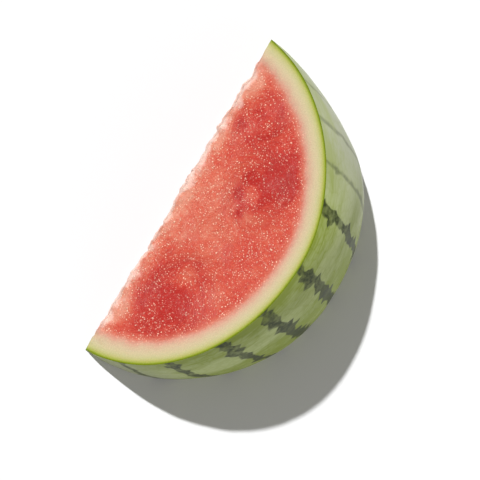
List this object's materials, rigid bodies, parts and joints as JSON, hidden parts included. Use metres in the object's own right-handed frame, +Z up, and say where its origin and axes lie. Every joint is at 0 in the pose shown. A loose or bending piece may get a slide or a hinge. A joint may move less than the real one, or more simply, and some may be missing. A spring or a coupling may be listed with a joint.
{
  "type": "watermelon wedge",
  "caption": "Wedge of round seedless watermelon with striped green rind and red flesh, lying on one of its two cut faces.",
  "frame": {"origin": "under the middle of the bounding box, on the surface the wedge lies on", "axes": "+X along the thin edge where the two cuts meet, +Y from that edge towards the rind, +Z up from the lower cut face"},
  "size_m": [0.231, 0.1166, 0.0797],
  "materials": {
    "watermelon": "moist crumbly red flesh on the cuts, with a pale green rind and a waxy skin in two greens"
  },
  "bodies": {
    "root": {"watermelon_wedge": "watermelon"}
  },
  "joints": []
}
